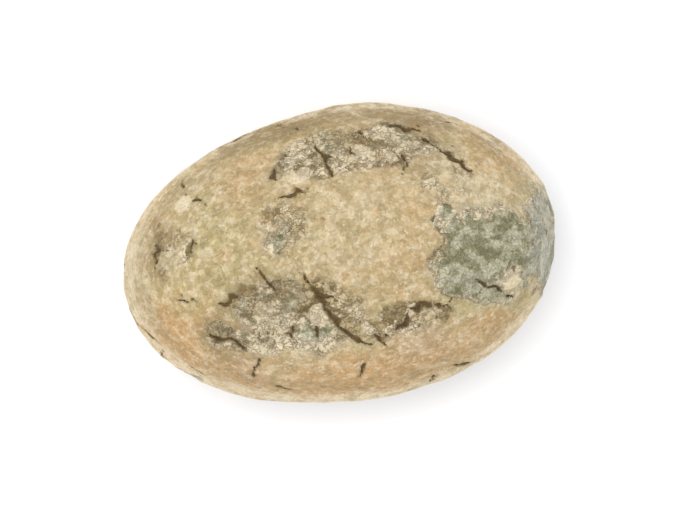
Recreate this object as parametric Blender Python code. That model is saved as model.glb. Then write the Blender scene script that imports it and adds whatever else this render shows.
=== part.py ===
"""A purging croton seed lying on its flatter side: one closed solid.

Units are metres, +Z is up. The seed's long axis is X, with the hilum end at -X and the round
chalaza end at +X. It stands on the floor plane Z = 0, and the origin is on the floor under the
middle of its box. The shape is a sphere whose points are moved by the formulas below.
"""

import bmesh
import bpy
import numpy as np
from mathutils import Matrix, Vector

# Driving dimensions
SEED_LENGTH = 0.0124
SEED_WIDTH = 0.0084
SEED_THICKNESS = 0.0066

# Share of the thickness that lies above the margin, the rest is belly
BACK_SHARE = 0.56

# Share of the full girth between which the features of the sides fade out towards the two ends
FADE_GIRTH = (0.10, 0.45)

# Points round the seed and from end to end
SEGMENTS = 96
RINGS = 46

# Outline from above: how much fuller the +X half is, and how far the middle line sways
EGG = 0.022
SWAY = 0.00007

# Side view: how far both ends droop, and how much fuller than an oval they are above and below
END_DROOP = 0.00014
BACK_FULLNESS = 0.16
BELLY_FULLNESS = 0.12

# Cross section: four blunt corners at the margins, the back and the belly, and a flatter belly
FOUR_SIDED = 0.014
BELLY_FLATNESS = 0.13

# Bead along the margin, with a shallow channel above it
BEAD_HEIGHT = 0.00008
BEAD_HALF_WIDTH = 0.00028
BEAD_LEVEL = 0.00025
BEAD_END_SHARE = 0.45
CHANNEL_DEPTH = 0.00004
CHANNEL_HALF_WIDTH = 0.00035
CHANNEL_LEVEL = 0.00095

# Soft ridge along the middle of the back
BACK_RIDGE_HEIGHT = 0.00004
BACK_RIDGE_HALF_WIDTH = 0.00085

# Raphe: the raised line along the belly, between two shallow grooves
RAPHE_HEIGHT = 0.00008
RAPHE_HALF_WIDTH = 0.00026
RAPHE_GROOVE_DEPTH = 0.00003
RAPHE_GROOVE_OFFSET = 0.00070
RAPHE_GROOVE_HALF_WIDTH = 0.00032
RAPHE_LEVELS = (-0.0002, -0.0012)

# Hilum: a low knob with a pit on the underside of the -X end
HILUM_ANGLE = np.radians(38.0)
HILUM_RADIUS = 0.00062
HILUM_HEIGHT = 0.00020
HILUM_PIT_RADIUS = 0.00026
HILUM_PIT_DEPTH = 0.00013

# Chalaza: a shallow dimple with a low rim on the underside of the +X end
CHALAZA_ANGLE = np.radians(36.0)
CHALAZA_RADIUS = 0.00060
CHALAZA_DEPTH = 0.00012
CHALAZA_RIM_RADIUS = 0.00095
CHALAZA_RIM_HALF_WIDTH = 0.00025
CHALAZA_RIM_HEIGHT = 0.00004

# Places where the outer film is rubbed off: centre X and Y on the back, half length, half width
WORN_PLACES = (
    (0.00410, -0.00055, 0.00165, 0.00195),
    (-0.00215, -0.00105, 0.00120, 0.00110),
    (-0.00030, 0.00265, 0.00190, 0.00055),
)
FILM_THICKNESS = 0.00005
WORN_EDGE = 0.30

# Slow unevenness of the whole surface: waves in (X, Y, Z) per metre, phase, height
SWELLS = (
    ((620.0, 310.0, -240.0), 0.4, 0.000022),
    ((-410.0, 870.0, 330.0), 1.9, 0.000018),
    ((1050.0, -520.0, 610.0), 3.1, 0.000016),
    ((330.0, 1340.0, -1180.0), 4.6, 0.000016),
    ((-1690.0, 960.0, 420.0), 5.5, 0.000014),
)

# How far the floor cuts into the belly, and how near a point has to be to be laid on the floor
REST_CUT = 0.00017
SNAP = 0.000012

COAT_COLOUR = (0.50, 0.39, 0.22, 1.0)
COAT_ROUGHNESS = 0.85


def bump(distance, half_width):
    """A smooth hump that is 1 at distance 0 and falls off over half_width."""
    return np.exp(-((distance / half_width) ** 2))


def smooth_step(low, high, value):
    """0 at low, 1 at high, an even S curve between them and flat past both."""
    share = np.clip((value - low) / (high - low), 0.0, 1.0)
    return share * share * (3.0 - 2.0 * share)


def bare_form(direction):
    """The plain seed for directions on the unit sphere: an oval with four blunt corners.

    Along the length, t runs from -1 to 1 and the half width follows the circle's own fall,
    made fuller towards +X. Each ring is an ellipse, taller above the margin than below, that is
    pushed out at its four corners and flattened below. The rings near the ends are taller than
    the circle's own fall.
    """
    t = direction[:, 0]
    ring = np.sqrt(np.clip(1.0 - t * t, 0.0, 1.0))
    turn = np.arctan2(direction[:, 2], direction[:, 1])
    corner = 1.0 + FOUR_SIDED * np.cos(4.0 * turn)
    half_width = 0.5 * SEED_WIDTH * ring * (1.0 + EGG * np.sin(np.pi * t))
    back = SEED_THICKNESS * BACK_SHARE * ring * (1.0 + BACK_FULLNESS * t * t)
    belly = SEED_THICKNESS * (1.0 - BACK_SHARE) * ring * (1.0 + BELLY_FULLNESS * t * t)
    belly = belly * (1.0 + BELLY_FLATNESS * np.cos(turn) ** 2)
    height = np.where(turn >= 0.0, back, belly)
    middle = SWAY * np.sin(np.pi * t)
    x = 0.5 * SEED_LENGTH * t
    y = middle + half_width * np.cos(turn) * corner
    z = height * np.sin(turn) * corner
    return np.stack([x, y, z], axis=1), ring, turn, middle


def relief(points, ring, turn, middle):
    """Height of the relief over the plain seed, in metres, as a sum of the features above."""
    x, y, z = points.T
    across = y - middle
    above = z > 0.0
    tip_fade = smooth_step(*FADE_GIRTH, ring)

    bead = BEAD_HEIGHT * bump(z - BEAD_LEVEL, BEAD_HALF_WIDTH)
    bead *= BEAD_END_SHARE + (1.0 - BEAD_END_SHARE) * tip_fade
    channel = -CHANNEL_DEPTH * bump(z - CHANNEL_LEVEL, CHANNEL_HALF_WIDTH)
    ridge = BACK_RIDGE_HEIGHT * bump(across, BACK_RIDGE_HALF_WIDTH) * tip_fade * above

    raphe = RAPHE_HEIGHT * bump(across, RAPHE_HALF_WIDTH)
    raphe -= RAPHE_GROOVE_DEPTH * bump(np.abs(across) - RAPHE_GROOVE_OFFSET, RAPHE_GROOVE_HALF_WIDTH)
    raphe *= smooth_step(*RAPHE_LEVELS, z)

    hilum_centre = end_point(-1.0, HILUM_ANGLE)
    from_hilum = np.linalg.norm(points - hilum_centre, axis=1)
    hilum = HILUM_HEIGHT * bump(from_hilum, HILUM_RADIUS)
    hilum -= HILUM_PIT_DEPTH * bump(from_hilum, HILUM_PIT_RADIUS)

    chalaza_centre = end_point(1.0, CHALAZA_ANGLE)
    from_chalaza = np.linalg.norm(points - chalaza_centre, axis=1)
    chalaza = -CHALAZA_DEPTH * bump(from_chalaza, CHALAZA_RADIUS)
    chalaza += CHALAZA_RIM_HEIGHT * bump(from_chalaza - CHALAZA_RIM_RADIUS, CHALAZA_RIM_HALF_WIDTH)

    bare = np.zeros(len(points))
    for centre_x, centre_y, half_length, half_breadth in WORN_PLACES:
        away = np.hypot((x - centre_x) / half_length, (y - centre_y) / half_breadth)
        bare = np.maximum(bare, 1.0 - smooth_step(1.0 - WORN_EDGE, 1.0 + WORN_EDGE, away))
    worn = -FILM_THICKNESS * bare * above

    swell = np.zeros(len(points))
    for wave, phase, height in SWELLS:
        swell += height * np.sin(points @ np.array(wave) + phase)

    return bead + channel + ridge + raphe + hilum + chalaza + worn + swell


def end_point(side, angle):
    """The point of the plain seed at the end on that side, the given angle below its long axis."""
    direction = np.array([[side * np.cos(angle), 0.0, -np.sin(angle)]])
    return bare_form(direction)[0][0]


def outward(points):
    """Unit normals of the ellipsoid of the driving dimensions, which the relief is raised along."""
    half = 0.5 * np.array([SEED_LENGTH, SEED_WIDTH, SEED_THICKNESS])
    normal = points / half**2
    return normal / np.linalg.norm(normal, axis=1, keepdims=True)


def shaped(direction):
    """Points of the finished seed before it is cut by the floor, fitted to its driving size."""
    points, ring, turn, middle = bare_form(direction)
    points = points + outward(points) * relief(points, ring, turn, middle)[:, None]
    points[:, 2] -= END_DROOP * direction[:, 0] ** 2
    low, high = points.min(axis=0), points.max(axis=0)
    low[2] += REST_CUT
    size = np.array([SEED_LENGTH, SEED_WIDTH, SEED_THICKNESS])
    foot = np.array([(low[0] + high[0]) / 2.0, (low[1] + high[1]) / 2.0, low[2]])
    return (points - foot) * size / (high - low)


def seed_mesh():
    """The seed's mesh: a UV sphere with its poles at the two ends, shaped, then cut flat below."""
    bm = bmesh.new()
    bmesh.ops.create_uvsphere(bm, u_segments=SEGMENTS, v_segments=RINGS, radius=1.0)
    bmesh.ops.rotate(bm, verts=bm.verts, matrix=Matrix.Rotation(np.radians(90.0), 3, "Y"))
    direction = np.array([vertex.co.normalized() for vertex in bm.verts])
    for vertex, point in zip(bm.verts, shaped(direction)):
        vertex.co = Vector(point)
        if abs(vertex.co.z) < SNAP:
            vertex.co.z = 0.0
    cut_by_floor(bm)
    bmesh.ops.triangulate(bm, faces=[face for face in bm.faces if len(face.verts) == 4])
    bmesh.ops.recalc_face_normals(bm, faces=bm.faces)
    mesh = bpy.data.meshes.new("seed")
    bm.to_mesh(mesh)
    bm.free()
    mesh.shade_smooth()
    return mesh


def cut_by_floor(bm):
    """Takes away what is below the floor and closes the opening with one flat face."""
    geometry = bm.verts[:] + bm.edges[:] + bm.faces[:]
    bmesh.ops.bisect_plane(
        bm, geom=geometry, dist=1e-9, plane_co=(0.0, 0.0, 0.0), plane_no=(0.0, 0.0, 1.0), clear_inner=True
    )
    rim = [edge for edge in bm.edges if edge.is_boundary]
    for vertex in {vertex for edge in rim for vertex in edge.verts}:
        vertex.co.z = 0.0
    bmesh.ops.holes_fill(bm, edges=rim, sides=0)


def coat_material():
    """The dull tan coat."""
    material = bpy.data.materials.new("seed_coat")
    material.use_nodes = True
    shader = material.node_tree.nodes["Principled BSDF"]
    shader.inputs["Base Color"].default_value = COAT_COLOUR
    shader.inputs["Roughness"].default_value = COAT_ROUGHNESS
    shader.inputs["Metallic"].default_value = 0.0
    return material


def main():
    for old in list(bpy.data.objects):
        bpy.data.objects.remove(old, do_unlink=True)
    collection = bpy.data.collections.new("purging_croton_seed")
    bpy.context.scene.collection.children.link(collection)
    seed = bpy.data.objects.new("seed", seed_mesh())
    seed.data.materials.append(coat_material())
    collection.objects.link(seed)


main()
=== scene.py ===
"""The looks of one purging croton seed, with its floor, its light and its camera.

The seed's surface is one grid of rings, worked out in millimetres and written to the mesh in
metres. It repeats the plain form of the CAD seed, +X along the length from the hilum end and +Z
up through the arched back, and adds what is too fine for it: the thin scurfy film, where it is
rubbed off, its cracks, flakes and lifted edges. The same fields go to the mesh as attributes,
so that the colours follow the relief.
"""

from itertools import product

import bpy
import numpy as np
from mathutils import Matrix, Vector


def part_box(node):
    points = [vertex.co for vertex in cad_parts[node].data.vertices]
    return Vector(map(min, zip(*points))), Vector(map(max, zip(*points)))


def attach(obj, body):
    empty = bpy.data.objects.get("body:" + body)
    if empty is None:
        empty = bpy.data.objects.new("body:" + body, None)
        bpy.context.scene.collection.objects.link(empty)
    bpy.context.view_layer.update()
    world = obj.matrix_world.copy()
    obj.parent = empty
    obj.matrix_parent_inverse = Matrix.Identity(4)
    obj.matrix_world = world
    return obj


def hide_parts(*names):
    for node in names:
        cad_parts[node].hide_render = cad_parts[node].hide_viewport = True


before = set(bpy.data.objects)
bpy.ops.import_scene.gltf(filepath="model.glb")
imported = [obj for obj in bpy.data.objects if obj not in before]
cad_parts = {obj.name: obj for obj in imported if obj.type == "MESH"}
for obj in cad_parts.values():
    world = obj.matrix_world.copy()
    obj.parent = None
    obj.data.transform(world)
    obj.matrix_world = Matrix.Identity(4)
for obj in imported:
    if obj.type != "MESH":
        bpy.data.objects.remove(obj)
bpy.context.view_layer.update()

METRES = 0.001
PER_METRE = 1000.0

# The seed's box in millimetres, taken from the CAD node
BOX_LOW, BOX_HIGH = (np.array(corner) * PER_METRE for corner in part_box("seed"))
LENGTH, WIDTH, THICKNESS = BOX_HIGH - BOX_LOW

# Points round the seed, and rings between the points of its two ends
AROUND = 380
RINGS = 258
RING_CROWDING = 0.10

# The plain form, as in the CAD seed
BACK_SHARE = 0.56
FADE_GIRTH = (0.10, 0.45)
EGG = 0.022
SWAY = 0.07
END_DROOP = 0.14
BACK_FULLNESS = 0.16
BELLY_FULLNESS = 0.12
FOUR_SIDED = 0.014
BELLY_FLATNESS = 0.13
REST_CUT = 0.17

# Bead along the margin, the channel above it and the soft ridge of the back
BEAD_HEIGHT = 0.08
BEAD_HALF_WIDTH = 0.28
BEAD_LEVEL = 0.25
BEAD_END_SHARE = 0.45
CHANNEL_DEPTH = 0.04
CHANNEL_HALF_WIDTH = 0.35
CHANNEL_LEVEL = 0.95
BACK_RIDGE_HEIGHT = 0.04
BACK_RIDGE_HALF_WIDTH = 0.85

# Raphe along the belly between its two grooves, and the scars under the two ends
RAPHE_HEIGHT = 0.08
RAPHE_HALF_WIDTH = 0.26
RAPHE_GROOVE_DEPTH = 0.03
RAPHE_GROOVE_OFFSET = 0.70
RAPHE_GROOVE_HALF_WIDTH = 0.32
RAPHE_LEVELS = (-0.2, -1.2)
HILUM_ANGLE = np.radians(38.0)
HILUM_RADIUS = 0.62
HILUM_HEIGHT = 0.20
HILUM_PIT_RADIUS = 0.26
HILUM_PIT_DEPTH = 0.13
CHALAZA_ANGLE = np.radians(36.0)
CHALAZA_RADIUS = 0.60
CHALAZA_DEPTH = 0.12
CHALAZA_RIM_RADIUS = 0.95
CHALAZA_RIM_HALF_WIDTH = 0.25
CHALAZA_RIM_HEIGHT = 0.04

# Slow unevenness: radians per millimetre along X, Y and Z, phase, height
SWELLS = (
    ((0.62, 0.31, -0.24), 0.4, 0.022),
    ((-0.41, 0.87, 0.33), 1.9, 0.018),
    ((1.05, -0.52, 0.61), 3.1, 0.016),
    ((0.33, 1.34, -1.18), 4.6, 0.016),
    ((-1.69, 0.96, 0.42), 5.5, 0.014),
)

# Shares of the thickness between which what is placed on the back fades in, and the one above
# which a crack of the back is laid
BACK_LEVELS = (0.24, 0.44)
BACK_START = 0.42
# Shares of a spot's radius between which it fades out
SPOT_EDGE = (0.35, 1.25)

# Oval spots on the back: centre X and Y, half length, half width, turn in degrees, strength.
# First where the film is worn
WORN_BACK = (
    (4.00, -0.60, 1.65, 1.60, 0.0, 0.92),
    (5.75, -0.50, 0.85, 2.10, 0.0, 0.64),
    (3.10, 0.55, 0.70, 0.60, 0.0, 0.50),
    (-2.20, -1.15, 1.40, 1.10, 8.0, 0.47),
    (-3.30, -1.90, 0.90, 0.45, -28.0, 0.46),
    (-1.00, -1.95, 0.70, 0.55, 0.0, 0.50),
    (-1.70, 0.72, 0.60, 0.42, 20.0, 0.38),
    (-0.40, 2.70, 1.50, 0.60, 8.0, 0.40),
    (2.10, 2.95, 1.05, 0.50, -14.0, 0.44),
)
# Where it is crackled into flakes
CRACKLED_BACK = (
    (0.90, 2.75, 2.80, 0.80, 0.0, 1.00),
    (3.20, 1.70, 1.20, 1.00, 0.0, 0.55),
    (-1.30, -1.60, 2.20, 1.30, 0.0, 1.00),
    (1.60, -2.10, 1.60, 0.60, 6.0, 0.80),
    (-1.40, 0.90, 1.20, 0.90, 0.0, 0.60),
    (-4.60, 0.80, 0.90, 1.40, 0.0, 0.50),
)
# Pale flakes that still hold on
PALE_FLAKES = (
    (4.52, -1.26, 0.60, 0.46, 25.0, 1.0),
    (-2.31, -1.24, 0.40, 0.30, 40.0, 0.9),
    (-0.83, -1.59, 0.34, 0.38, 0.0, 1.0),
    (-0.75, 2.30, 0.50, 0.26, 15.0, 0.8),
    (0.95, 2.75, 0.34, 0.28, 0.0, 0.8),
    (-4.15, 2.05, 0.34, 0.26, 30.0, 0.8),
    (1.75, 2.45, 0.34, 0.24, -30.0, 0.7),
)
# Some spots below are partly painted shade and painted light, as marked
# Tints of the film. Brown also browns the coat and the flakes that lie under it
TINTS_BACK = {
    "warm": (
        (-4.70, -1.90, 1.40, 1.10, -35.0, 0.95),
        (-3.20, -2.95, 1.40, 0.65, -20.0, 0.70),
        (0.30, -3.40, 2.80, 0.65, 0.0, 0.95),
        (3.30, -2.90, 1.50, 0.55, 25.0, 0.70),
        (4.60, 2.40, 1.20, 0.70, -35.0, 0.50),
        (-2.40, 2.50, 1.10, 0.60, 20.0, 0.40),
    ),
    "olive": (
        (-3.50, 0.50, 1.30, 1.60, 0.0, 0.80),
        (-4.30, -0.90, 0.90, 0.70, 0.0, 0.60),
        # Darker olive along the top margin, partly painted shade
        (-1.30, 3.60, 1.70, 0.45, 8.0, 0.90),
        (4.20, -1.70, 1.70, 0.90, 0.0, 0.90),
        (-2.20, -1.10, 1.30, 1.00, 0.0, 0.60),
    ),
    "pink": (
        (1.90, -2.75, 1.00, 0.60, 0.0, 0.80),
        (-3.00, -2.85, 0.90, 0.50, -25.0, 0.80),
        (2.60, 3.50, 1.20, 0.45, -14.0, 0.80),
        (1.60, 2.60, 1.60, 0.70, 0.0, 0.70),
        (-1.70, 0.75, 0.65, 0.50, 0.0, 0.75),
    ),
    "brown": (
        # These two spots darken the top margin, partly as painted shade
        (-1.40, 3.85, 2.60, 0.60, 6.0, 0.95),
        (2.40, 3.70, 1.60, 0.45, -14.0, 0.70),
        (4.65, 2.50, 0.60, 0.40, -30.0, 0.60),
        (-2.30, -1.20, 1.50, 1.10, 0.0, 0.85),
        (-3.35, -1.95, 0.95, 0.60, -28.0, 0.95),
        (2.00, 2.85, 1.40, 0.60, -14.0, 0.80),
        (-0.50, 2.70, 1.40, 0.60, 8.0, 0.15),
        (-5.00, 0.80, 0.40, 1.00, 0.0, 0.60),
    ),
    "cream": (
        (0.40, 0.60, 2.40, 1.60, 0.0, 0.30),
        (4.10, 1.20, 1.10, 0.70, -10.0, 0.95),
        (3.00, 2.20, 1.00, 0.70, -30.0, 0.70),
        (-0.90, 2.40, 0.90, 0.45, 10.0, 0.70),
        # Lightens the left end, partly as painted light
        (-5.80, 0.20, 0.55, 2.10, 0.0, 0.90),
    ),
}
# Worn places elsewhere: share of the length from -1 to 1, turn round the seed in degrees from
# the +Y margin over the back, radius, strength
WORN_ELSEWHERE = (
    (-0.35, 205.0, 1.00, 0.62),
    (0.34, 236.0, 1.30, 0.74),
    (0.62, 338.0, 1.10, 0.68),
    (-0.62, 318.0, 1.20, 0.58),
    (-0.10, 346.0, 0.90, 0.54),
    (-0.05, 284.0, 1.30, 0.70),
    (-0.86, 250.0, 0.80, 0.66),
    (0.90, 285.0, 0.90, 0.74),
    (0.40, 190.0, 0.80, 0.54),
    (-0.72, 172.0, 0.70, 0.48),
)

# How the spots are pushed out of shape: feature width and reach
SPOT_WARP = (1.1, 0.38)
WORN_WARP = (1.2, 0.95)
FLAKE_WARP = (0.4, 0.12)
# The noise that tears the worn places: reach, feature width, and what is taken off the sum
WEAR_NOISE = 0.36
WEAR_SIZE = 0.9
WEAR_LEVEL = 0.5
# Distances along X count for less, so that worn places run lengthwise
STRETCH = (0.7, 1.0, 1.0)
# How much wear a pale flake takes back
PALE_HOLD = 0.5
# Crackling: levels of wear where it sets in, and on the sides width and levels of its noise
FRAY_AT_WEAR = (-0.4, 0.0)
FRAY_SIZE = 2.4
FRAY_LEVELS = (0.1, 0.5)

# Cracks on the back: half width, then plan points
CRACKS_BACK = (
    (0.11, (1.85, 3.38), (2.35, 3.22), (2.80, 3.08)),
    (0.07, (2.68, 2.95), (3.40, 2.29), (4.10, 1.64)),
    (0.07, (2.12, 2.53), (2.26, 1.99)),
    (0.05, (1.02, 3.30), (1.20, 3.22)),
    (0.06, (0.71, 2.92), (0.76, 2.52)),
    (0.07, (-0.29, 3.11), (-0.04, 2.63), (0.23, 2.12)),
    (0.07, (-1.25, 2.98), (-1.00, 2.92)),
    (0.07, (-1.68, 2.45), (-1.45, 2.38)),
    (0.07, (-0.47, 2.04), (-0.94, 1.84), (-1.56, 1.75)),
    (0.05, (-3.90, 2.02), (-3.60, 2.08)),
    (0.06, (-4.81, 1.40), (-5.06, 0.78), (-5.16, 0.45)),
    (0.04, (-4.01, 1.16), (-4.01, 0.58)),
    (0.08, (-1.23, -0.16), (-0.82, -0.93), (-0.41, -1.73), (-0.08, -2.22), (0.43, -2.64),
     (0.79, -2.56)),
    (0.08, (0.79, -2.56), (1.36, -2.24), (1.82, -1.79), (2.22, -1.71), (2.73, -1.84),
     (3.03, -1.57)),
    (0.08, (0.78, -2.61), (0.75, -2.20)),
    (0.06, (3.48, -1.16), (3.97, -1.44), (4.68, -1.99)),
    (0.08, (-3.58, -0.98), (-2.80, -0.65)),
    (0.06, (-2.38, 0.08), (-1.85, -0.78)),
    (0.07, (-1.49, -1.62), (-1.66, -2.26)),
    (0.08, (-0.90, -1.84), (-0.89, -2.32)),
    (0.11, (-3.95, -1.69), (-3.33, -1.96), (-2.91, -2.31)),
    (0.04, (-4.71, -0.63), (-3.99, -0.74)),
    (0.05, (-2.65, -2.51), (-2.99, -3.25)),
    (0.05, (0.44, -2.95), (0.05, -3.50)),
)
# Length of a path's steps, how far each is knocked aside, and how many half widths past its
# edge a crack's field is followed
PATH_STEP = 0.16
KINK = 0.035
HALO = 3.0
# Random shares of the half width along a crack, and the share that is left at its two ends
WIDTH_SHARES = (0.40, 1.15)
POINT_SHARE = 0.12
# How the cracks' edges are torn, feature width and reach, and how their width comes and goes:
# reach, feature width, least share
BROAD_TEAR = (0.5, 0.08)
FINE_TEAR = (0.17, 0.05)
WIDTH_NOISE = 0.9
WIDTH_SIZE = 0.32
LEAST_WIDTH = 0.3
# Side branches: how often one leaves, lengths, slants and share of the crack's half width
BRANCH_SHARE = 0.7
BRANCH_LENGTHS = (0.2, 0.6)
BRANCH_ANGLES = np.radians((35.0, 85.0))
BRANCH_WIDTH = 0.55

# Cracks drawn at random. The two values of t bound where one starts and how far it runs, the
# turns bound where it starts, and the bend is each step's change of heading in radians
CRACK_SEED = 41
CRACK_COUNT = 44
CRACK_LENGTHS = (0.4, 2.2)
CRACK_HALF_WIDTHS = (0.035, 0.06)
CRACK_T = 0.93
CRACK_END_T = 0.985
CRACK_TURNS = np.radians((150.0, 390.0))
CRACK_BEND = 0.34

# Relief of the film and of what lies under it
FILM_THICKNESS = 0.028
FILM_EDGE = 0.10
LIP_HEIGHT = 0.012
LIP_FIELD = (0.12, 0.08)
CRACK_DEPTH = 0.060
CRACK_LEVELS = (-0.4, 0.8)
CRACK_LIP_HEIGHT = 0.012
CRACK_LIP_FIELD = (0.6, 0.5)
FLAKE_HEIGHT = 0.026
FLAKE_SIZE = 0.34
# Unevenness, broad and fine, the furrows along the seed and the knobs of the bead
BROAD_HEIGHT = 0.034
BROAD_SIZE = 1.5
FINE_HEIGHT = 0.016
FINE_SIZE = 0.40
FURROW_HEIGHT = 0.012
FURROW_SIZE = 0.42
FURROW_ON_COAT = 1.5
KNOB_HEIGHT = 0.024
KNOB_SIZE = 0.8
KNOB_REACH = 0.24
# How far the grain's place is stretched round the seed and along it: it runs lengthwise
GRAIN_ROUND = 3.6
GRAIN_ALONG = 2.2
# Radii of the brown marks of the hilum and the chalaza, how dark the second is, and how dark
# the grooves beside the raphe are
HILUM_MARK = 0.75
CHALAZA_MARK = 0.85
CHALAZA_SHADE = 0.9
GROOVE_SHADE = 0.8

# Brings the lattice noise to between about -1 and 1
NOISE_GAIN = 1.6

# Salts of the noise fields, so that no two run alike
SALT = {
    "wear": 3,
    "warp": 23,
    "jag": 29,
    "uneven": 37,
    "furrow": 51,
    "bead": 67,
    "width": 79,
    "fray": 91,
    "flake": 97,
}

# The white card: half its side, its level, two whites, their cloud in millimetres, its finish
FLOOR_HALF = 3.0
FLOOR_LEVEL = -0.000004
CARD_SHADE = (0.935, 0.935, 0.94, 1.0)
CARD_WHITE = (0.95, 0.95, 0.95, 1.0)
CARD_CLOUD_SIZE = 20.0
CARD_ROUGHNESS = 0.8
CARD_GLOSS = 0.2

# Light and camera. The lamp's values are its place, side, power and colour
SKY_COLOUR = (0.93, 0.955, 1.0, 1.0)
SKY_STRENGTH = 1.13
WINDOW_LAMP = ((-0.070, 0.045, 0.29), 0.20, 0.36, (1.0, 0.965, 0.91))
LAMP_AIM = (0.0, 0.0, 0.003)
CAMERA_LENS = 200.0
CAMERA_SENSOR = 36.0
CAMERA_REACH = (0.001, 20.0)
CAMERA_PLACE = (0.0, 0.0, 0.110)
CAMERA_TURN = np.radians(-8.2)


def bump(distance, half_width):
    """A smooth hump: e to the power of minus the square of distance over half width."""
    return np.exp(-((distance / half_width) ** 2))


def smooth_step(low, high, value):
    """0 at low, 1 at high, an even S curve between them and flat past both."""
    share = np.clip((value - low) / (high - low), 0.0, 1.0)
    return share * share * (3.0 - 2.0 * share)


def lattice_noise(points, cell, salt):
    """Smooth noise between about -1 and 1 whose features are as wide as cell.

    Space is cut into cubes with side cell, and a shuffled table gives each corner a random unit
    direction. Its dot product with the way from the corner to the point is blended over the
    eight corners by the weight s cubed times (6 s squared - 15 s + 10).
    """
    draw = np.random.default_rng(salt)
    order = np.tile(draw.permutation(256), 2)
    ways = draw.normal(size=(256, 3))
    ways /= np.linalg.norm(ways, axis=1, keepdims=True)
    scaled = points / cell + draw.uniform(0.0, 64.0, 3)
    base = np.floor(scaled).astype(int)
    part = scaled - base
    weight = part**3 * (part * (part * 6.0 - 15.0) + 10.0)
    total = np.zeros(len(points))
    for corner in product((0, 1), repeat=3):
        place = (base + corner) & 255
        pick = order[order[order[place[:, 0]] + place[:, 1]] + place[:, 2]]
        share = np.where(corner, weight, 1.0 - weight).prod(axis=1)
        total += share * ((part - corner) * ways[pick]).sum(axis=1)
    return NOISE_GAIN * total


def layered_noise(points, cell, salt, layers=4, fade=0.5):
    """Mean of lattice noises, each half as wide as the last and with fade times its weight."""
    weights = fade ** np.arange(layers)
    total = np.zeros(len(points))
    for layer, weight in enumerate(weights):
        total += weight * lattice_noise(points, cell / 2**layer, salt + layer)
    return total / weights.sum()


def shifted(points, cell, far, salt):
    """The points, each moved along X, Y and Z by up to far by three noises."""
    moves = [layered_noise(points, cell, salt + 100 * axis, layers=2) for axis in range(3)]
    return points + far * np.stack(moves, axis=1)


def plain_form(t, turn):
    """Rings of an oval seed, for t from -1 to 1 along the length and turn round it.

    The rings' girth is the square root of 1 - t squared. The sine of pi times t makes them a
    little wider in the +X half, and sways their middles to +Y there and to -Y in the other. A
    ring's height above the margin is greater than below, and both heights are fuller than an
    oval's towards the ends. Each ring is pushed out at its four corners by the cosine of four
    times turn, and its lower half is flattened by the square of the cosine of turn.
    """
    girth = np.sqrt(np.clip(1.0 - t * t, 0.0, 1.0))
    corner = 1.0 + FOUR_SIDED * np.cos(4.0 * turn)
    half_width = 0.5 * WIDTH * girth * (1.0 + EGG * np.sin(np.pi * t))
    back = THICKNESS * BACK_SHARE * girth * (1.0 + BACK_FULLNESS * t * t)
    belly = THICKNESS * (1.0 - BACK_SHARE) * girth * (1.0 + BELLY_FULLNESS * t * t)
    belly = belly * (1.0 + BELLY_FLATNESS * np.cos(turn) ** 2)
    height = np.where(np.sin(turn) >= 0.0, back, belly)
    x = 0.5 * LENGTH * t
    y = SWAY * np.sin(np.pi * t) + half_width * np.cos(turn) * corner
    z = height * np.sin(turn) * corner
    return np.stack([x, y, z], axis=1), girth


def end_scar(side, angle):
    """The point of the plain form at one end, the given angle below the long axis."""
    return plain_form(np.array([side * np.cos(angle)]), np.array([-0.5 * np.pi]))[0][0]


def main_relief(points, girth, t):
    """Height of the bead, channel, ridge, raphe, hilum, chalaza and swells over the plain form.

    Each is a bump in the distance from its line or its middle. A swell is the sine of the point
    times its wave, plus its phase.
    """
    _, y, z = points.T
    across = y - SWAY * np.sin(np.pi * t)
    tip_fade = smooth_step(*FADE_GIRTH, girth)
    height = BEAD_HEIGHT * bump(z - BEAD_LEVEL, BEAD_HALF_WIDTH)
    height *= BEAD_END_SHARE + (1.0 - BEAD_END_SHARE) * tip_fade
    height -= CHANNEL_DEPTH * bump(z - CHANNEL_LEVEL, CHANNEL_HALF_WIDTH)
    height += BACK_RIDGE_HEIGHT * bump(across, BACK_RIDGE_HALF_WIDTH) * tip_fade * (z > 0.0)
    raphe = RAPHE_HEIGHT * bump(across, RAPHE_HALF_WIDTH)
    from_groove = np.abs(across) - RAPHE_GROOVE_OFFSET
    raphe -= RAPHE_GROOVE_DEPTH * bump(from_groove, RAPHE_GROOVE_HALF_WIDTH)
    height += raphe * smooth_step(*RAPHE_LEVELS, z)
    from_hilum = np.linalg.norm(points - end_scar(-1.0, HILUM_ANGLE), axis=1)
    height += HILUM_HEIGHT * bump(from_hilum, HILUM_RADIUS)
    height -= HILUM_PIT_DEPTH * bump(from_hilum, HILUM_PIT_RADIUS)
    from_chalaza = np.linalg.norm(points - end_scar(1.0, CHALAZA_ANGLE), axis=1)
    height -= CHALAZA_DEPTH * bump(from_chalaza, CHALAZA_RADIUS)
    height += CHALAZA_RIM_HEIGHT * bump(from_chalaza - CHALAZA_RIM_RADIUS, CHALAZA_RIM_HALF_WIDTH)
    for wave, phase, swell in SWELLS:
        height += swell * np.sin(points @ np.array(wave) + phase)
    return height


def outward(points):
    """Unit normals of the oval with the seed's length, width and thickness."""
    normal = points / (0.5 * np.array([LENGTH, WIDTH, THICKNESS])) ** 2
    return normal / np.linalg.norm(normal, axis=1, keepdims=True)


def smooth_seed(t, turn):
    """The CAD seed's smooth form, about the middle of its axis, and the girth of its rings.

    The plain form is moved along its oval's normals by the main relief, and its ends are
    lowered by t squared.
    """
    points, girth = plain_form(t, turn)
    points = points + outward(points) * main_relief(points, girth, t)[:, None]
    points[:, 2] -= END_DROOP * t**2
    return points, girth


def limits(points):
    """Corners of the box of the points, less what the floor cuts off below."""
    low, high = points.min(axis=0), points.max(axis=0)
    return low + (0.0, 0.0, REST_CUT), high


def seated(points, low, high):
    """The points moved and stretched so that the box from low to high becomes the CAD box."""
    return BOX_LOW + (points - low) * (BOX_HIGH - BOX_LOW) / (high - low)


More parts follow.
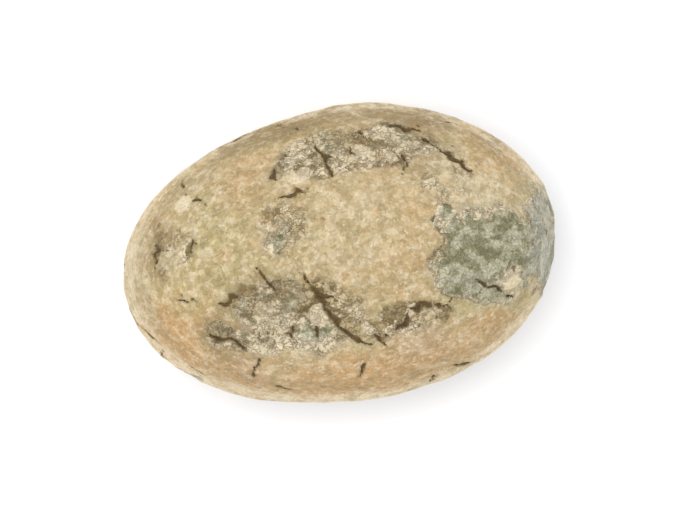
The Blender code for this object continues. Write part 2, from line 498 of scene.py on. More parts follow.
def spot_share(away):
    """1 inside a spot, 0 outside it, for away as a share of its radius."""
    return 1.0 - smooth_step(*SPOT_EDGE, away)


def back_spots(points, spots):
    """The greatest strength of the oval spots that lie over each point."""
    strength = np.zeros(len(points))
    for x, y, half_length, half_breadth, angle, how_much in spots:
        cosine, sine = np.cos(np.radians(angle)), np.sin(np.radians(angle))
        east, north = points[:, 0] - x, points[:, 1] - y
        along = (east * cosine + north * sine) / half_length
        aside = (north * cosine - east * sine) / half_breadth
        strength = np.maximum(strength, how_much * spot_share(np.hypot(along, aside)))
    return strength


def laid_on(surface, path, draw):
    """A plan path cut into short steps, each knocked a little aside and laid on the surface."""
    path = np.array(path)
    run = np.append(0.0, np.cumsum(np.linalg.norm(np.diff(path, axis=0), axis=1)))
    at = np.linspace(0.0, run[-1], 2 + int(run[-1] / PATH_STEP))
    plan = np.stack([np.interp(at, run, path[:, axis]) for axis in (0, 1)], axis=1)
    plan += draw.normal(0.0, KINK, plan.shape)
    gap = ((surface[None, :, :2] - plan[:, None, :]) ** 2).sum(axis=2)
    return surface[gap.argmin(axis=1)]


def side_branch(path, draw):
    """A short crack that leaves a random point of a path at a slant, in the path's own plane.

    Its way is the path's direction times the cosine of the slant plus the direction level with
    the surface and square to it times the sine.
    """
    start = draw.integers(1, len(path))
    way = path[start] - path[start - 1]
    way /= np.linalg.norm(way) + 1e-9
    middle = np.array([0.0, 0.0, 0.5 * THICKNESS])
    side = np.cross(outward((path[start] - middle)[None])[0], way)
    slant = draw.uniform(*BRANCH_ANGLES) * draw.choice((-1.0, 1.0))
    reach = np.linspace(0.0, draw.uniform(*BRANCH_LENGTHS), 4)[:, None]
    return path[start] + reach * (way * np.cos(slant) + side * np.sin(slant))


def crack_field(points, path, half_width, draw):
    """1 on the middle of a crack, 0 at its edge and less further out.

    It is 1 - the distance to the path over the half width. The half width has a random share at
    each point of the path and thins to both ends by the square root of the sine of the share of
    the way.
    """
    count = len(path)
    bow = np.sqrt(np.sin(np.pi * np.arange(count) / (count - 1)).clip(0.0))
    taper = POINT_SHARE + (1.0 - POINT_SHARE) * bow
    widths = half_width * taper * draw.uniform(*WIDTH_SHARES, count)
    reach = (1.0 + HALO) * widths.max()
    near = np.all((points > path.min(axis=0) - reach) & (points < path.max(axis=0) + reach), axis=1)
    spot = points[near]
    best = np.full(len(spot), -HALO)
    for leg in range(count - 1):
        way = path[leg + 1] - path[leg]
        from_start = spot - path[leg]
        share = np.clip(from_start @ way / max(way @ way, 1e-12), 0.0, 1.0)
        distance = np.linalg.norm(from_start - share[:, None] * way, axis=1)
        width = widths[leg] + share * (widths[leg + 1] - widths[leg])
        best = np.maximum(best, 1.0 - distance / width)
    field = np.full(len(points), -HALO)
    field[near] = best
    return field


def wandering_path(draw):
    """t and turn of a short crack on the sides, ends or belly.

    It starts at a random place in a random direction, and each step bends it a little.
    """
    t, turn = draw.uniform(-CRACK_T, CRACK_T), draw.uniform(*CRACK_TURNS)
    steps = int(draw.uniform(*CRACK_LENGTHS) / PATH_STEP) + 2
    heading = draw.normal(0.0, CRACK_BEND, steps).cumsum() + draw.uniform(0.0, np.pi)
    girth = np.sqrt(1.0 - t * t)
    t_steps = PATH_STEP * np.cos(heading) / (0.5 * LENGTH)
    turn_steps = PATH_STEP * np.sin(heading) / (0.25 * (WIDTH + THICKNESS) * girth)
    return (t + t_steps.cumsum()).clip(-CRACK_END_T, CRACK_END_T), turn + turn_steps.cumsum()


def seed_grid():
    """t and turn of every point: rings from end to end, crowded towards the middle, then the ends.

    A ring's angle is v + crowding times the sine of 2 v, and t is minus its cosine.
    """
    even = np.pi * np.arange(1, RINGS + 1) / (RINGS + 1)
    t = -np.cos(even + RING_CROWDING * np.sin(2.0 * even))
    turn = -0.5 * np.pi + 2.0 * np.pi * np.arange(AROUND) / AROUND
    t, turn = (grid.ravel() for grid in np.meshgrid(t, turn, indexing="ij"))
    return np.append(t, (-1.0, 1.0)), np.append(turn, (0.5 * np.pi, 0.5 * np.pi))


def seed_faces():
    """Four-sided faces between neighbouring rings and three-sided ones round the two ends."""
    here = np.arange(AROUND)
    beside = (here + 1) % AROUND
    rows = AROUND * np.arange(RINGS - 1)[:, None]
    next_rows = rows + AROUND
    quads = np.stack([rows + here, next_rows + here, next_rows + beside, rows + beside], axis=2)
    last, start, end = AROUND * (RINGS - 1), AROUND * RINGS, AROUND * RINGS + 1
    near_start = np.stack([np.full(AROUND, start), here, beside], axis=1)
    near_end = np.stack([np.full(AROUND, end), last + beside, last + here], axis=1)
    return quads.reshape(-1, 4).tolist() + near_start.tolist() + near_end.tolist()


def wear_fields(points, on_seed):
    """Where the film is rubbed off, crackled or tinted, and where pale flakes hold on.

    wear is above 0 on the bare coat and falls to about -1 on sound film. It is the strongest
    spot plus layered noise, less a half, and less up to another half on a pale flake. The other
    fields run from 0 to 1. The spots of the back fade out below the margin.
    """
    wobble = shifted(points, *SPOT_WARP, SALT["warp"])
    back = smooth_step(*BACK_LEVELS, wobble[:, 2] / THICKNESS)
    wear = back_spots(wobble, WORN_BACK) * back
    torn = shifted(points, *WORN_WARP, SALT["warp"] + 50)
    for t, turn, radius, how_much in WORN_ELSEWHERE:
        centre = on_seed(np.array([t]), np.radians([turn]))
        away = np.linalg.norm((torn - centre) * STRETCH, axis=1) / radius
        wear = np.maximum(wear, how_much * spot_share(away))
    noise = layered_noise(points * STRETCH, WEAR_SIZE, SALT["wear"], layers=4, fade=0.7)
    wear += WEAR_NOISE * noise - WEAR_LEVEL
    pale = back_spots(shifted(points, *FLAKE_WARP, SALT["warp"] + 1), PALE_FLAKES) * back
    wear -= PALE_HOLD * pale
    fray = np.maximum(back_spots(wobble, CRACKLED_BACK) * back, smooth_step(*FRAY_AT_WEAR, wear))
    elsewhere = layered_noise(points, FRAY_SIZE, SALT["fray"], layers=2)
    elsewhere = smooth_step(*FRAY_LEVELS, elsewhere)
    fields = {name: back_spots(wobble, spots) * back for name, spots in TINTS_BACK.items()}
    fields.update(wear=wear, fray=np.maximum(fray, elsewhere * (1.0 - back)), pale=pale)
    return fields


def split_field(points, back, on_seed):
    """1 in the middle of a crack and 0 at its edge, over the placed and the random cracks."""
    jagged = shifted(shifted(points, *BROAD_TEAR, SALT["jag"]), *FINE_TEAR, SALT["jag"] + 7)
    paths = []
    draw = np.random.default_rng(CRACK_SEED)
    for half_width, *plan in CRACKS_BACK:
        paths.append((laid_on(points[back], plan, draw), half_width))
    for _ in range(CRACK_COUNT):
        paths.append((on_seed(*wandering_path(draw)), draw.uniform(*CRACK_HALF_WIDTHS)))
    for path, half_width in list(paths):
        for _ in range(draw.binomial(max(1, len(path) // 5), BRANCH_SHARE)):
            paths.append((side_branch(path, draw), BRANCH_WIDTH * half_width))
    split = np.full(len(points), -HALO)
    for path, half_width in paths:
        split = np.maximum(split, crack_field(jagged, path, half_width, draw))
    wide = 1.0 + WIDTH_NOISE * layered_noise(points, WIDTH_SIZE, SALT["width"], layers=2)
    return 1.0 - (1.0 - split) / wide.clip(LEAST_WIDTH)


def rim_inset(points, t):
    """How far each point lies inside the seed's outline seen from above, in millimetres.

    The outline is taken as an oval: r is the root of t squared plus the square of y over the
    half width, and the inset is the plan distance from the middle times (1 / r - 1).
    """
    half_width = 0.5 * WIDTH * (1.0 + EGG * np.sin(np.pi * t))
    r = np.hypot(t, points[:, 1] / half_width)
    return np.hypot(points[:, 0], points[:, 1]) * (1.0 / r.clip(0.05) - 1.0)


def fine_relief(points, fields, grain, tip_fade):
    """Height in millimetres of what the scene adds to the CAD seed's form, as a sum.

    The bare coat lies a film's thickness lower, with a lip along the film's edge. Cracks are cut
    in with a lip on both sides, flakes stand up and dip, and noises make the whole uneven, the
    bead knobby, and the film a little and the coat more furrowed from end to end.
    """
    wear, split = fields["wear"], fields["split"]
    film = 1.0 - smooth_step(-FILM_EDGE, FILM_EDGE, wear)
    broad = layered_noise(points, BROAD_SIZE, SALT["uneven"], layers=3)
    fine = layered_noise(points, FINE_SIZE, SALT["uneven"] + 9, layers=2)
    furrow = layered_noise(grain, FURROW_SIZE, SALT["furrow"], layers=2)
    flake = layered_noise(points, FLAKE_SIZE, SALT["flake"], layers=2)
    knob = layered_noise(points, KNOB_SIZE, SALT["bead"], layers=2)

    relief = FILM_THICKNESS * (film - 1.0)
    relief += LIP_HEIGHT * bump(wear + LIP_FIELD[0], LIP_FIELD[1])
    relief += BROAD_HEIGHT * broad
    relief += FINE_HEIGHT * fine
    relief += FURROW_HEIGHT * tip_fade * furrow * (FURROW_ON_COAT - film)
    relief -= CRACK_DEPTH * smooth_step(*CRACK_LEVELS, split)
    relief += FLAKE_HEIGHT * fields["fray"] * flake
    relief += CRACK_LIP_HEIGHT * bump(split + CRACK_LIP_FIELD[0], CRACK_LIP_FIELD[1]) * film
    relief += KNOB_HEIGHT * bump(fields["bead"], KNOB_REACH) * knob
    return relief


def scar_field(smooth):
    """1 on the hilum and a little less on the chalaza, falling to 0 round them."""
    from_hilum = np.linalg.norm(smooth - end_scar(-1.0, HILUM_ANGLE), axis=1)
    from_chalaza = np.linalg.norm(smooth - end_scar(1.0, CHALAZA_ANGLE), axis=1)
    chalaza = CHALAZA_SHADE * bump(from_chalaza, CHALAZA_MARK)
    return np.maximum(bump(from_hilum, HILUM_MARK), chalaza)


def raphe_field(smooth, t):
    """1 on the raphe, below 0 in its two grooves and 0 away from them and above the margin."""
    across = np.abs(smooth[:, 1] - SWAY * np.sin(np.pi * t))
    groove = bump(across - RAPHE_GROOVE_OFFSET, RAPHE_GROOVE_HALF_WIDTH)
    raphe = bump(across, RAPHE_HALF_WIDTH) - GROOVE_SHADE * groove
    return raphe * smooth_step(*RAPHE_LEVELS, smooth[:, 2])


def seed_surface():
    """The seed's points in millimetres, the fields that colour it and the grain.

    The smooth seed is moved along its oval's normals by the fine relief, fitted to the CAD box
    and cut flat at the floor. The grain is the point (cosine of turn, sine of turn, t), stretched.
    """
    t, turn = seed_grid()
    smooth, girth = smooth_seed(t, turn)
    low, high = limits(smooth)
    points = seated(smooth, low, high)
    back = points[:, 2] > BACK_START * THICKNESS

    def on_seed(some_t, some_turn):
        return seated(smooth_seed(some_t, some_turn)[0], low, high)

    fields = wear_fields(points, on_seed)
    fields["split"] = split_field(points, back, on_seed)
    fields["inset"] = rim_inset(points, t)
    fields["bead"] = smooth[:, 2] + END_DROOP * t**2 - BEAD_LEVEL
    fields["raphe"] = raphe_field(smooth, t)
    fields["scar"] = scar_field(smooth)
    steps = (GRAIN_ROUND * np.cos(turn), GRAIN_ROUND * np.sin(turn), GRAIN_ALONG * t)
    grain = np.stack(steps, axis=1)

    relief = fine_relief(points, fields, grain, smooth_step(*FADE_GIRTH, girth))
    shape = smooth + outward(smooth) * relief[:, None]
    shape = seated(shape, *limits(shape))
    shape[:, 2] = np.maximum(shape[:, 2], 0.0)
    return shape, fields, grain


def seed_piece():
    """The seed as one closed smooth-shaded mesh with its fields as attributes."""
    shape, fields, grain = seed_surface()
    faces = seed_faces()
    sides = np.array([len(face) for face in faces])
    mesh = bpy.data.meshes.new("whole_seed")
    mesh.vertices.add(len(shape))
    mesh.vertices.foreach_set("co", (shape * METRES).ravel())
    mesh.loops.add(int(sides.sum()))
    mesh.loops.foreach_set("vertex_index", [corner for face in faces for corner in face])
    mesh.polygons.add(len(faces))
    mesh.polygons.foreach_set("loop_start", np.append(0, sides.cumsum()[:-1]))
    mesh.update(calc_edges=True)
    mesh.shade_smooth()
    for name, field in fields.items():
        mesh.attributes.new(name, "FLOAT", "POINT").data.foreach_set("value", field)
    mesh.attributes.new("grain", "FLOAT_VECTOR", "POINT").data.foreach_set("vector", grain.ravel())
    seed = bpy.data.objects.new("whole_seed", mesh)
    bpy.context.scene.collection.objects.link(seed)
    return seed


class Wiring:
    """Adds nodes to one shader tree and joins them. A value is a socket or a plain number."""

    def __init__(self, tree):
        self.tree = tree

    def put(self, socket, value):
        if isinstance(value, bpy.types.NodeSocket):
            self.tree.links.new(value, socket)
        else:
            socket.default_value = value

    def node(self, kind, inputs=None, **settings):
        """A node with its settings, and the inputs with these names or numbers filled."""
        node = self.tree.nodes.new("ShaderNode" + kind)
        count = len(self.tree.nodes)
        node.location = (190 * (count % 12), -260 * (count // 12))
        for name, setting in settings.items():
            setattr(node, name, setting)
        for name, value in (inputs or {}).items():
            self.put(node.inputs[name], value)
        return node

    def math(self, operation, *values):
        return self.node("Math", dict(enumerate(values)), operation=operation).outputs[0]

    def times(self, *values):
        """The product of the values."""
        total, *rest = values
        for value in rest:
            total = self.math("MULTIPLY", total, value)
        return total

    def vector(self, operation, *values):
        return self.node("VectorMath", dict(enumerate(values)), operation=operation).outputs[0]

    def noise(self, vector, size, detail=3.0, roughness=0.55, output="Fac"):
        """Noise from 0 to 1 whose features are about size wide."""
        linked = isinstance(size, bpy.types.NodeSocket)
        scale = self.math("DIVIDE", 1.0, size) if linked else 1.0 / size
        inputs = {"Vector": vector, "Scale": scale, "Detail": detail, "Roughness": roughness}
        return self.node("TexNoise", inputs, noise_dimensions="3D").outputs[output]

    def spread(self, value, low, high, to_low=0.0, to_high=1.0):
        """Value mapped from low..high to to_low..to_high by a smooth S curve, flat past both."""
        names = ("Value", "From Min", "From Max", "To Min", "To Max")
        inputs = dict(zip(names, (value, low, high, to_low, to_high)))
        return self.node("MapRange", inputs, interpolation_type="SMOOTHSTEP").outputs["Result"]

    def mix(self, share, under, over):
        """Colour under with a share of colour over on it."""
        return self.node("Mix", {0: share, 6: under, 7: over}, data_type="RGBA").outputs[2]

    def warped(self, vector, size, far):
        """The vector pushed about by up to half of far, by noise whose features are size wide."""
        noise = self.noise(vector, size, 3.0, 0.6, "Color")
        way = self.vector("SUBTRACT", noise, (0.5, 0.5, 0.5))
        push = self.node("VectorMath", {0: way, "Scale": far}, operation="SCALE").outputs[0]
        return self.vector("ADD", vector, push)

    def group(self, tree, output=0, **inputs):
        """A group node, its inputs named with _ for each space."""
        given = {name.replace("_", " "): value for name, value in inputs.items()}
        return self.node("Group", given, node_tree=tree).outputs[output]


def effect(name, numbers, outputs):
    """A node group with a Vector and these numbers as inputs, and its outputs, to be wired."""
    tree = bpy.data.node_groups.new(name, "ShaderNodeTree")
    sockets = tree.interface
    sockets.new_socket("Vector", in_out="INPUT", socket_type="NodeSocketVector")
    for label, usual in numbers.items():
        number = sockets.new_socket(label, in_out="INPUT", socket_type="NodeSocketFloat")
        number.default_value = usual
    for label in outputs:
        sockets.new_socket(label, in_out="OUTPUT", socket_type="NodeSocketFloat")
    given, made = tree.nodes.new("NodeGroupInput"), tree.nodes.new("NodeGroupOutput")
    return tree, Wiring(tree), given.outputs, made.inputs


def ragged_effect():
    """A mask that is 1 where a field is above 0, its edge torn by noise."""
    numbers = {"Field": 0.0, "Grain Size": 0.15, "Tear": 0.1, "Softness": 0.03}
    tree, w, given, made = effect("Ragged Mask", numbers, ("Mask",))
    noise = w.noise(given["Vector"], given["Grain Size"], 5.0, 0.68)
    torn = w.times(w.math("SUBTRACT", noise, 0.5), given["Tear"], 2.0)
    field = w.math("ADD", given["Field"], torn)
    w.put(made["Mask"], w.spread(field, w.times(given["Softness"], -1.0), given["Softness"]))
    return tree


def speckle_effect():
    """Small scattered dots of uneven size: 1 in a dot. Share is the part of the cells with one."""
    tree, w, given, made = effect("Speckle", {"Cell Size": 0.1, "Share": 0.4}, ("Mask",))
    size = given["Cell Size"]
    moved = w.warped(given["Vector"], w.times(size, 0.5), w.times(size, 0.8))
    inputs = {"Vector": moved, "Scale": w.math("DIVIDE", 1.0, size)}
    cell = w.node("TexVoronoi", inputs, voronoi_dimensions="3D", feature="F1")
    chance = w.node("SeparateColor", {"Color": cell.outputs["Color"]})
    radius = w.spread(chance.outputs[1], 0.0, 1.0, 0.16, 0.44)
    dot = w.spread(cell.outputs["Distance"], radius, w.times(radius, 0.4))
    w.put(made["Mask"], w.times(dot, w.math("LESS_THAN", chance.outputs[0], given["Share"])))
    return tree


def crackle_effect():
    """A warped pattern of flakes: 1 on the hairlines between them, and a random tone for each."""
    numbers = {"Cell Size": 0.5, "Line Width": 0.03, "Warp": 0.3}
    tree, w, given, made = effect("Crackle", numbers, ("Mask", "Tone"))
    far = w.times(given["Warp"], given["Cell Size"], 4.0)
    moved = w.warped(given["Vector"], w.times(given["Cell Size"], 0.6), far)
    inputs = {"Vector": moved, "Scale": w.math("DIVIDE", 1.0, given["Cell Size"])}
    edge = w.node("TexVoronoi", inputs, voronoi_dimensions="3D", feature="DISTANCE_TO_EDGE")
    flake = w.node("TexVoronoi", inputs, voronoi_dimensions="3D", feature="F1")
    width = w.math("DIVIDE", given["Line Width"], given["Cell Size"])
    w.put(made["Mask"], w.spread(edge.outputs["Distance"], width, 0.0))
    w.put(made["Tone"], w.node("SeparateColor", {"Color": flake.outputs["Color"]}).outputs[0])
    return tree


def shade(red, green, blue):
    """A colour given as screen values from 0 to 255, as the linear colour that shaders take."""
    share = np.array([red, green, blue]) / 255.0
    linear = np.where(share <= 0.04045, share / 12.92, ((share + 0.055) / 1.055) ** 2.4)
    return (*linear.tolist(), 1.0)


FILM_TAN = shade(179, 159, 118)
FILM_PALE = shade(205, 188, 155)
FILM_WARM = shade(190, 150, 101)
FILM_PINK = shade(177, 148, 117)
FILM_OLIVE = shade(173, 160, 110)
FILM_BROWN = shade(139, 118, 79)
FILM_CREAM = shade(205, 188, 153)
FILM_THIN = shade(141, 123, 86)
COAT_GREY = shade(145, 140, 105)
COAT_OLIVE = shade(130, 112, 72)
COAT_DARK = shade(112, 109, 75)
COAT_DUST = shade(173, 168, 141)
COAT_CRUMB = shade(198, 191, 165)
COAT_EDGE_HIGHLIGHT = shade(186, 184, 172)
CRACK_BROWN = shade(84, 62, 33)
CRACK_OLIVE = shade(105, 85, 48)
# Pale of the bead and the raphe, and also painted highlight along the outline
RIM_PALE_AND_HIGHLIGHT = shade(220, 203, 171)
RIM_SHADE = shade(140, 120, 83)
FLAKE_PALE = shade(217, 201, 169)
FLAKE_GAP = shade(114, 95, 59)
SCAR_BROWN = shade(88, 64, 42)
TINT_COLOURS = {
    "cream": FILM_CREAM,
    "olive": FILM_OLIVE,
    "warm": FILM_WARM,
    "pink": FILM_PINK,
    "brown": FILM_BROWN,
}

# Layers of colour, from below: the noise that they follow, two levels of it, the share of the
# layer's colour at the first and at the second, and that colour
FILM_GROUND = (
    ("broad", 0.42, 0.66, 0.0, 0.35, FILM_WARM),
    ("other", 0.50, 0.68, 0.0, 0.30, FILM_OLIVE),
)
FILM_MOTTLING = (
    ("medium", 0.48, 0.66, 0.0, 0.80, FILM_PALE),
    ("medium", 0.48, 0.32, 0.0, 0.34, FILM_BROWN),
)
FILM_BLOTCHES = (
    ("blotch", 0.50, 0.34, 0.0, 0.32, FILM_BROWN),
    ("blotch", 0.54, 0.70, 0.0, 0.50, FILM_WARM),
    ("streak", 0.54, 0.72, 0.0, 0.28, FILM_WARM),
    ("scurf", 0.55, 1.0, 0.0, 0.40, FLAKE_PALE),
    ("scurf", 0.45, 0.0, 0.0, 0.40, FILM_THIN),
)
COAT_MOTTLING = (
    ("medium", 0.36, 0.58, 0.0, 1.0, COAT_GREY),
    ("broad", 0.44, 0.62, 0.0, 0.5, COAT_GREY),
    ("streak", 0.44, 0.64, 0.0, 0.75, COAT_DUST),
)

# Levels of the medium noise, and the shares of a placed tint that show at them
TINT_SHARES = (0.28, 0.60, 0.45, 1.0)

# The scurf, the large and the small flakes and the chips: cells and hairlines in millimetres,
# how far the cells are warped, and the share of them that has a chip
SCURF = {"Cell_Size": 0.12, "Line_Width": 0.01, "Warp": 0.5}
LARGE_FLAKES = {"Cell_Size": 0.62, "Line_Width": 0.062, "Warp": 0.5}
SMALL_FLAKES = {"Cell_Size": 0.26, "Line_Width": 0.026, "Warp": 0.5}
CHIPS = {"Cell_Size": 0.42, "Share": 0.30}

# Bumps that the shading adds to the mesh, in millimetres at the full strength of each
BUMPS = {
    "fine": 0.030,
    "grit": 0.010,
    "scurf": 0.010,
    "flakes": 0.016,
    "streak": 0.020,
    "medium": 0.020,
    "bare": -0.022,
    "hairline": -0.034,
    "crack": -0.036,
    "chips": -0.020,
}
COAT_GLOSS = 0.35


class CoatWiring(Wiring):
    """Wiring for the seed's own tree, with its fields, its noises and the three effects."""

    def __init__(self, tree, ragged, speckle, crackle):
        super().__init__(tree)
        self.effects = {"ragged": ragged, "speckle": speckle, "crackle": crackle}
        object_place = self.node("TexCoord").outputs["Object"]
        place = self.vector("MULTIPLY", object_place, (PER_METRE,) * 3)
        self.place = place
        self.noises = {
            "broad": self.noise(place, 2.4, 2.0),
            "other": self.noise(self.vector("ADD", place, (7.0, 3.0, 5.0)), 1.5, 3.0),
            "medium": self.noise(place, 0.36, 5.0, 0.62),
            "blotch": self.noise(self.vector("ADD", place, (3.0, 9.0, 2.0)), 0.62, 4.0, 0.6),
            "fine": self.noise(place, 0.085, 3.0, 0.6),
            "grit": self.noise(place, 0.035, 2.0),
            "streak": self.noise(self.field("grain", "Vector"), 0.30, 4.0, 0.6),
            "scurf": self.effect("crackle", "Tone", **SCURF),
        }
        self.patchy = self.by("medium", *TINT_SHARES)

    def field(self, name, output="Fac"):
        """One of the seed's attributes."""
        return self.node("Attribute", attribute_name=name).outputs[output]

    def effect(self, name, output=0, **values):
        """One of the three effects, placed on the seed with these values."""
        return self.group(self.effects[name], output, Vector=self.place, **values)

    def torn(self, field, grain_size, tear, softness):
        """A mask that is 1 where the field is above 0, with a torn edge."""
        values = {"Field": field, "Grain_Size": grain_size, "Tear": tear, "Softness": softness}
        return self.effect("ragged", **values)

    def by(self, noise, *levels):
        """A noise, by its name, mapped by spread to these levels."""
        return self.spread(self.noises[noise], *levels)

    def layered(self, colour, layers):
        """The colour with layers of colour over it, each by a share that follows its noise."""
        for noise, low, high, to_low, to_high, over in layers:
            colour = self.mix(self.by(noise, low, high, to_low, to_high), colour, over)
        return colour


def film_colour(w):
    """The sound film: tan, with the placed tints, mottled pale and brown, and its fine scurf."""
    film = w.layered(FILM_TAN, FILM_GROUND)
    # Some placed tints are partly painted: shade along the top margin, light at the left end
    for name, tint in TINT_COLOURS.items():
        film = w.mix(w.times(w.field(name), w.patchy), film, tint)
    film = w.layered(film, FILM_MOTTLING)
    warm = w.times(w.field("warm"), w.by("streak", 0.30, 0.70, 0.15, 0.50))
    film = w.mix(warm, film, FILM_WARM)
    # Brown again over the mottling, which also deepens the painted shade along the top margin
    brown = w.times(w.field("brown"), w.by("streak", 0.30, 0.70, 0.80, 0.35))
    film = w.mix(brown, film, FILM_BROWN)
    return w.layered(film, FILM_BLOTCHES)


def crackled_film(w, film, wear, broken, tone, hairline):
    """The film where it is worn thin and dusty, and where it breaks into pale and brown flakes."""
    dust = w.mix(w.times(w.field("brown"), 0.85), COAT_DUST, COAT_OLIVE)
    thin = w.torn(w.math("ADD", wear, 0.24), 0.30, 0.45, 0.20)
    film = w.mix(w.times(thin, w.by("medium", 0.34, 0.60, 0.75, 0.35)), film, dust)
    film = w.mix(w.times(broken, w.spread(tone, 0.42, 0.78, 0.0, 0.85)), film, FLAKE_PALE)
    browned = w.math("SUBTRACT", tone, w.times(w.field("brown"), 0.20))
    film = w.mix(w.times(broken, w.spread(browned, 0.38, 0.06, 0.0, 0.75)), film, FLAKE_GAP)
    film = w.mix(w.times(hairline, 0.92), film, CRACK_OLIVE)
    # A pale line on the lip of the film's torn edge: partly its pale edge, partly painted highlight
    edge = w.spread(w.math("ABSOLUTE", w.math("ADD", wear, 0.05)), 0.10, 0.02)
    film = w.mix(w.times(edge, w.by("fine", 0.4, 0.6), 0.50), film, FLAKE_PALE)
    flake = w.torn(w.math("SUBTRACT", w.field("pale"), 0.45), 0.25, 0.7, 0.08)
    return w.mix(w.times(flake, 0.7), film, FLAKE_PALE)


def margin_and_raphe(w, film, inset, bead):
    """The film: the shaded margin fold, pale raphe, and a rim of pale bead and painted highlight.
    """
    fold = w.times(w.spread(inset, 0.30, 0.46), w.spread(inset, 0.80, 0.55))
    fold = w.times(fold, w.spread(bead, 0.0, 0.5))
    film = w.mix(w.times(fold, w.by("blotch", 0.40, 0.62, 0.0, 0.45)), film, RIM_SHADE)
    # Bead crest and a band inside the outline: partly pale bead, partly painted highlight
    crest = w.spread(w.math("ABSOLUTE", bead), 0.34, 0.04)
    outline_highlight = w.times(w.spread(inset, 0.30, 0.12), w.spread(bead, 0.0, 0.3))
    outline_highlight = w.times(outline_highlight, w.by("other", 0.40, 0.56, 0.35, 0.90))
    pale_bead_and_highlight = w.times(w.math("MAXIMUM", crest, outline_highlight), w.by("medium", 0.36, 0.54, 0.35, 0.90))
    film = w.mix(pale_bead_and_highlight, film, RIM_PALE_AND_HIGHLIGHT)
    raphe = w.field("raphe")
    line = w.times(w.spread(raphe, 0.15, 0.8), w.by("medium", 0.34, 0.56, 0.2, 0.7))
    film = w.mix(line, film, RIM_PALE_AND_HIGHLIGHT)
    groove = w.times(w.spread(raphe, -0.15, -0.7), w.by("medium", 0.60, 0.40, 0.1, 0.6))
    return w.mix(groove, film, FILM_BROWN)


def bare_coat(w, inset, bead):
    """The grey-green coat: dusty, a painted highlight at the margin, browned by its tint, pale
    crumbs.
    """
    coat = w.layered(COAT_DARK, COAT_MOTTLING)
    # Painted highlight: the bare coat paler and greyer towards the outline
    edge = w.times(w.spread(inset, 1.1, 0.3, 0.0, 0.55), w.spread(bead, 0.0, 0.6))
    coat = w.mix(edge, coat, COAT_EDGE_HIGHLIGHT)
    coat = w.mix(w.times(w.field("brown"), w.patchy, 0.85), coat, COAT_OLIVE)
    crumbs = w.torn(w.math("SUBTRACT", w.noises["medium"], 0.53), 0.10, 0.24, 0.06)
    return w.mix(w.times(crumbs, 0.65), coat, COAT_CRUMB)


def cracked(w, base, split, crack):
    """The colour with a stain and a torn olive border round each crack, and the crack itself."""
    stain = w.times(w.spread(split, -2.6, 0.1), w.by("medium", 0.36, 0.60, 0.10, 0.42))
    base = w.mix(stain, base, FILM_THIN)
    border = w.torn(w.math("ADD", split, 0.45), 0.15, 2.2, 0.25)
    olive = w.mix(w.by("other", 0.44, 0.56), COAT_OLIVE, CRACK_OLIVE)
    base = w.mix(w.times(border, 0.60), base, olive)
    inside = w.mix(w.spread(split, 0.15, 0.70, 0.0, 0.90), CRACK_OLIVE, CRACK_BROWN)
    return w.mix(w.times(crack, 0.92), base, inside)


def scarred(w, base):
    """The colour with the dark brown hilum and chalaza, and a lighter brown ring round each."""
    scar = w.field("scar")
    ring = w.torn(w.math("SUBTRACT", scar, 0.35), 0.30, 0.35, 0.20)
    base = w.mix(w.times(ring, 0.6), base, FILM_BROWN)
    mark = w.torn(w.math("SUBTRACT", scar, 0.74), 0.20, 0.30, 0.08)
    return w.mix(w.times(mark, 0.8), base, SCAR_BROWN)


def flake_hairlines(w, broken):
    """1 on the hairlines between the large flakes, less between the small, where it is broken."""
    large = w.effect("crackle", "Mask", **LARGE_FLAKES)
    small = w.effect("crackle", "Mask", **SMALL_FLAKES)
    large = w.times(large, w.by("medium", 0.56, 0.42, 0.25, 1.0))
    return w.times(w.math("MAXIMUM", large, w.times(small, 0.7)), broken, w.by("fine", 0.28, 0.50))


def coat_material(ragged, speckle, crackle):
    """Scurfy tan film over a grey-green coat, with olive-brown cracks."""
    material = bpy.data.materials.new("scurfy_film_over_grey_coat")
    material.use_nodes = True
    w = CoatWiring(material.node_tree, ragged, speckle, crackle)
    shader = material.node_tree.nodes["Principled BSDF"]
    wear, fray, split, inset, bead = map(w.field, ("wear", "fray", "split", "inset", "bead"))

    broken = w.torn(w.math("SUBTRACT", fray, 0.5), 0.6, 0.55, 0.2)
    tone = w.effect("crackle", "Tone", **LARGE_FLAKES)
    hairline = flake_hairlines(w, broken)
    bare = w.torn(wear, 0.30, 0.60, 0.07)
    crack = w.torn(w.math("SUBTRACT", split, 0.05), 0.11, 1.3, 0.25)
    chips = w.times(w.effect("speckle", **CHIPS), w.by("medium", 0.40, 0.56))
    chips = w.times(chips, w.spread(fray, 0.0, 0.6, 0.45, 1.0))

    film = crackled_film(w, film_colour(w), wear, broken, tone, hairline)
    film = margin_and_raphe(w, film, inset, bead)
    base = w.mix(bare, film, bare_coat(w, inset, bead))
    # A brown wash by the brown field, partly painted shade on the top margin
    brown_glaze_and_shade = w.times(w.field("brown"), w.by("medium", 0.38, 0.58, 0.50, 0.05))
    base = w.mix(brown_glaze_and_shade, base, FILM_BROWN)
    chip_colour = w.mix(w.by("other", 0.45, 0.55), COAT_DARK, CRACK_OLIVE)
    base = w.mix(w.times(chips, 0.75), base, chip_colour)
    base = scarred(w, cracked(w, base, split, crack))
    brightness = {"Value": w.by("fine", 0.30, 0.70, 0.85, 1.12), "Color": base}
    w.put(shader.inputs["Base Color"], w.node("HueSaturation", brightness).outputs[0])

    rough = w.math("SUBTRACT", w.by("fine", 0.3, 0.7, 0.86, 0.96), w.times(bare, 0.20))
    w.put(shader.inputs["Roughness"], rough)
    shader.inputs["Specular IOR Level"].default_value = COAT_GLOSS

    masks = {"flakes": w.times(tone, broken), "bare": bare, "crack": crack}
    masks.update(w.noises, hairline=hairline, chips=chips)
    height = 0.0
    for name, depth in BUMPS.items():
        height = w.math("ADD", height, w.times(masks[name], depth))
    relief = w.node("Bump", {"Distance": METRES, "Strength": 1.0, "Height": height})
    w.put(shader.inputs["Normal"], relief.outputs[0])
    return material


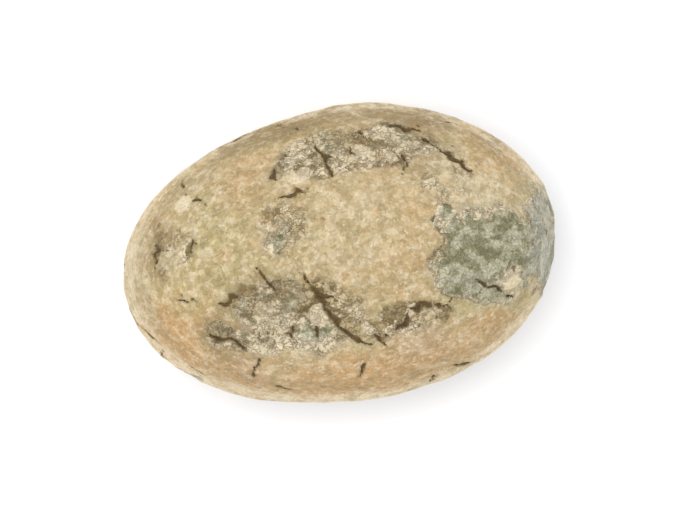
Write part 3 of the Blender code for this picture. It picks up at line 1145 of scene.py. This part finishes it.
def floor_material():
    """Plain white card, faintly clouded between two whites."""
    material = bpy.data.materials.new("white_card")
    material.use_nodes = True
    w = Wiring(material.node_tree)
    shader = material.node_tree.nodes["Principled BSDF"]
    place = w.vector("MULTIPLY", w.node("TexCoord").outputs["Object"], (PER_METRE,) * 3)
    cloud = w.noise(place, CARD_CLOUD_SIZE, 2.0)
    w.put(shader.inputs["Base Color"], w.mix(cloud, CARD_SHADE, CARD_WHITE))
    shader.inputs["Roughness"].default_value = CARD_ROUGHNESS
    shader.inputs["Specular IOR Level"].default_value = CARD_GLOSS
    return material


def floor_piece():
    """A flat square floor under the seed."""
    plan = ((-1.0, -1.0), (1.0, -1.0), (1.0, 1.0), (-1.0, 1.0))
    corners = [(FLOOR_HALF * x, FLOOR_HALF * y, FLOOR_LEVEL) for x, y in plan]
    mesh = bpy.data.meshes.new("card_floor")
    mesh.from_pydata(corners, [], [(0, 1, 2, 3)])
    floor = bpy.data.objects.new("card_floor", mesh)
    bpy.context.scene.collection.objects.link(floor)
    return floor


def area_light(name, place, side, power, colour):
    """A square lamp that points at the middle of the seed."""
    lamp = bpy.data.lights.new(name, "AREA")
    lamp.size = side
    lamp.energy = power
    lamp.color = colour
    holder = bpy.data.objects.new(name, lamp)
    holder.location = place
    aim = Vector(LAMP_AIM) - holder.location
    holder.rotation_euler = aim.to_track_quat("-Z", "Y").to_euler()
    bpy.context.scene.collection.objects.link(holder)


seed = seed_piece()
seed.data.materials.append(coat_material(ragged_effect(), speckle_effect(), crackle_effect()))
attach(seed, "root")
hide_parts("seed")

floor = floor_piece()
floor.data.materials.append(floor_material())

scene = bpy.context.scene
scene.view_settings.view_transform = "Standard"
world = bpy.data.worlds.new("sky")
world.use_nodes = True
world.node_tree.nodes["Background"].inputs["Color"].default_value = SKY_COLOUR
world.node_tree.nodes["Background"].inputs["Strength"].default_value = SKY_STRENGTH
scene.world = world
area_light("window", *WINDOW_LAMP)

camera = bpy.data.cameras.new("camera")
camera.lens = CAMERA_LENS
camera.sensor_width = CAMERA_SENSOR
camera.clip_start, camera.clip_end = CAMERA_REACH
holder = bpy.data.objects.new("camera", camera)
holder.location = CAMERA_PLACE
holder.rotation_euler = (0.0, 0.0, CAMERA_TURN)
scene.collection.objects.link(holder)
scene.camera = holder
